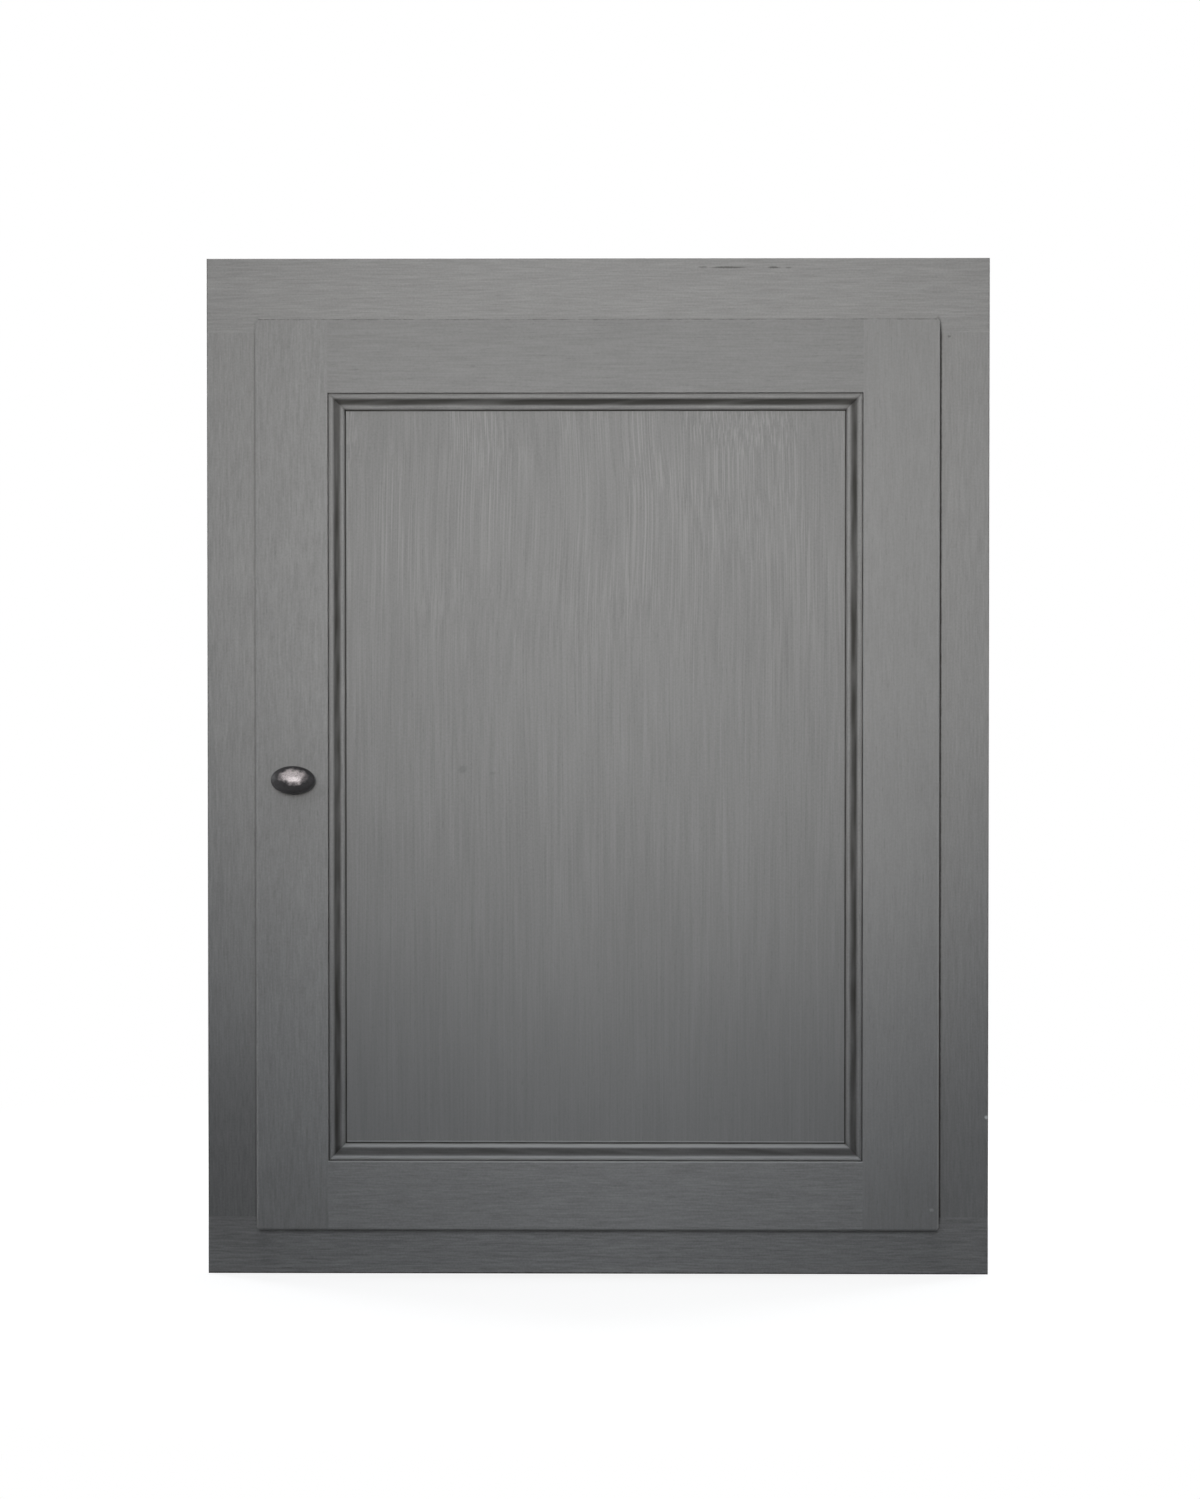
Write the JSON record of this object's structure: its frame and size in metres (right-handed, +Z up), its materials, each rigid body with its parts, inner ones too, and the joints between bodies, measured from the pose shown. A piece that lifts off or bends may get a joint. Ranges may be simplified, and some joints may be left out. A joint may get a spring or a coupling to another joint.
{
  "type": "wall cupboard",
  "caption": "Painted wooden wall cupboard: face frame, lay-on door with a moulded flat panel and oval knob, concealed cup hinges, magnetic catch, boarded back and shelves.",
  "frame": {"origin": "middle of the lower back edge, on the wall plane", "axes": "+X to the right as seen from the front, +Y into the wall, +Z up; the door faces -Y"},
  "size_m": [0.6, 0.349, 0.78],
  "materials": {
    "grey_paint": "softwood, brushed with flat grey paint",
    "pine": "waxed pine",
    "steel_pegs": "plated",
    "knob_metal": "dark pewter, rubbed bright on the front",
    "nickel": "nickel plated",
    "zinc_screws": "zinc plated",
    "catch_plastic": "moulded brown",
    "magnet": "ferrite",
    "pole_steel": "bare",
    "felt": "felt"
  },
  "bodies": {
    "cabinet": {"side_left": "grey_paint", "side_right": "grey_paint", "top_board": "grey_paint", "frame_stile_left": "grey_paint", "frame_stile_right": "grey_paint", "frame_rail_top": "grey_paint", "frame_rail_bottom": "grey_paint", "floor_board": "pine", "shelf_lower": "pine", "shelf_upper": "pine", "hanging_rail_upper": "pine", "hanging_rail_lower": "pine", "back_board_1": "pine", "back_board_2": "pine", "back_board_3": "pine", "back_board_4": "pine", "back_board_5": "pine", "shelf_pegs": "steel_pegs", "hinge_arm_upper": "nickel", "hinge_arm_lower": "nickel", "hinge_arm_screws": "zinc_screws", "catch_screws": "zinc_screws", "catch_case": "catch_plastic", "catch_magnet": "magnet", "catch_pole_plates": "pole_steel"},
    "door": {"door_stile_lock": "grey_paint", "door_stile_hinge": "grey_paint", "door_rail_top": "grey_paint", "door_rail_bottom": "grey_paint", "door_panel": "grey_paint", "panel_moulding_top": "grey_paint", "panel_moulding_bottom": "grey_paint", "panel_moulding_left": "grey_paint", "panel_moulding_right": "grey_paint", "knob": "knob_metal", "knob_screw": "zinc_screws", "hinge_cup_upper": "nickel", "hinge_cup_lower": "nickel", "hinge_pin_upper": "nickel", "hinge_pin_lower": "nickel", "hinge_cup_screws": "zinc_screws", "strike_plate": "nickel", "strike_screw": "zinc_screws", "door_bumpers": "felt"}
  },
  "joints": [
    {"name": "door_hinge", "type": "hinge", "parent": "cabinet", "child": "door", "pos_m": [0.253, -0.3095, 0.38435], "axis": [0, 0, 1], "range_deg": [0, 95]}
  ]
}
